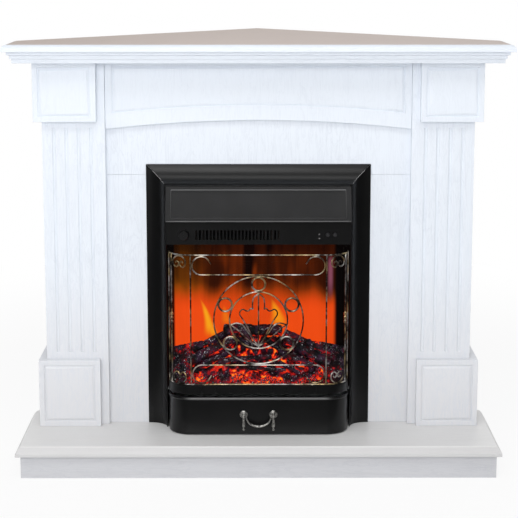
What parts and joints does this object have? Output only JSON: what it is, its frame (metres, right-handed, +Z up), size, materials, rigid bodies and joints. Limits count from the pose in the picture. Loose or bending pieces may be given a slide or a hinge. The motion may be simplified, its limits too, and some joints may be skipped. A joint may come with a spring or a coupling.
{
  "type": "corner fireplace",
  "caption": "Corner fireplace: white wood-grained mantelpiece on a low hearth, with a black electric fire, hood, wrought guard, ember bed and ash drawer.",
  "frame": {"origin": "middle of the floor footprint's box: half-way across and half-way from the hearth's front edge to the room's corner, on the floor", "axes": "+X to the right as seen from the room, +Y back into the corner, +Z up"},
  "size_m": [1.1194, 0.79, 0.9485],
  "materials": {
    "white_wood": "white lacquer over open wood grain, satin",
    "shelf_top": "pale warm lacquer over wood grain, satin",
    "raw_board": "bare fibreboard",
    "black_enamel": "satin black stove paint",
    "grey_enamel": "satin charcoal stove paint",
    "zinc_steel": "zinc-coated sheet",
    "flame_sheet": "glossy sheet lit from behind with flames",
    "ember_resin": "moulded coals lit from below",
    "charred_log": "moulded charred bark",
    "bronze_wire": "dark bronze, rubbed bright on the crests",
    "pewter": "antique pewter",
    "black_plastic": "satin black",
    "heater_wire": "oxidised heating ribbon"
  },
  "bodies": {
    "root": {"hearth_board": "white_wood", "hearth_skirt_front": "white_wood", "hearth_skirt_left": "white_wood", "hearth_skirt_right": "white_wood", "cornice_front": "white_wood", "cornice_left": "white_wood", "cornice_right": "white_wood", "frieze_board": "white_wood", "pilaster_left": "white_wood", "pilaster_right": "white_wood", "capital_block_left": "white_wood", "capital_block_right": "white_wood", "base_block_left": "white_wood", "base_block_right": "white_wood", "side_panel_left": "white_wood", "side_panel_right": "white_wood", "surround_header": "white_wood", "surround_slip_left": "white_wood", "surround_slip_right": "white_wood", "mantel_shelf": "shelf_top", "hearth_rail_left": "raw_board", "hearth_rail_right": "raw_board", "shelf_cleat_left": "raw_board", "shelf_cleat_right": "raw_board", "flange_left": "black_enamel", "flange_right": "black_enamel", "flange_top": "black_enamel", "control_fascia": "black_enamel", "fire_tray": "black_enamel", "hood": "grey_enamel", "casing_wrapper": "zinc_steel", "casing_back": "zinc_steel", "chassis_shelf": "zinc_steel", "led_bar": "zinc_steel", "flicker_cradle": "zinc_steel", "blower_housing": "zinc_steel", "flame_screen": "flame_sheet", "ember_bed": "ember_resin", "log_back": "charred_log", "log_left": "charred_log", "log_right": "charred_log", "flicker_motor": "black_plastic", "inlet_gland": "black_plastic", "heater_element": "heater_wire"},
    "drawer": {"drawer_front": "black_enamel", "ash_pan": "zinc_steel", "rosette_left": "pewter", "rosette_right": "pewter"},
    "bail": {"handle_bail": "pewter"},
    "knob": {"control_knob": "black_plastic"},
    "heat_button": {"heat_button": "black_plastic"},
    "flame_button": {"flame_button": "black_plastic"},
    "flicker": {"flicker_rod": "zinc_steel"},
    "blower": {"blower_wheel": "zinc_steel"},
    "guard": {"guard_top_rail": "bronze_wire", "guard_frame": "bronze_wire", "guard_scroll_upper": "bronze_wire", "guard_scroll_lower": "bronze_wire", "guard_medallion": "bronze_wire"}
  },
  "joints": [
    {"name": "drawer_slide", "type": "slide", "parent": "root", "child": "drawer", "axis": [0, -1, 0], "range_m": [0, 0.12]},
    {"name": "bail_swing", "type": "hinge", "parent": "drawer", "child": "bail", "pos_m": [0, -0.3193, 0.1217], "axis": [-1, 0, 0], "range_deg": [0, 85]},
    {"name": "knob_turn", "type": "hinge", "parent": "root", "child": "knob", "pos_m": [-0.167, -0.2623, 0.523], "axis": [0, 1, 0], "range_deg": [0, 270]},
    {"name": "heat_press", "type": "slide", "parent": "root", "child": "heat_button", "axis": [0, 1, 0], "range_m": [0, 0.002], "stiffness_N_per_m": 300, "springref_m": -0.001},
    {"name": "flame_press", "type": "slide", "parent": "root", "child": "flame_button", "axis": [0, 1, 0], "range_m": [0, 0.002], "stiffness_N_per_m": 300, "springref_m": -0.001},
    {"name": "flicker_spin", "type": "hinge", "parent": "root", "child": "flicker", "pos_m": [0, -0.191, 0.205], "axis": [1, 0, 0], "continuous": true},
    {"name": "blower_spin", "type": "hinge", "parent": "root", "child": "blower", "pos_m": [-0.047, -0.191, 0.543], "axis": [1, 0, 0], "continuous": true},
    {"name": "guard_lift", "type": "slide", "parent": "root", "child": "guard", "axis": [0, 0, 1], "range_m": [0, 0.012]}
  ]
}
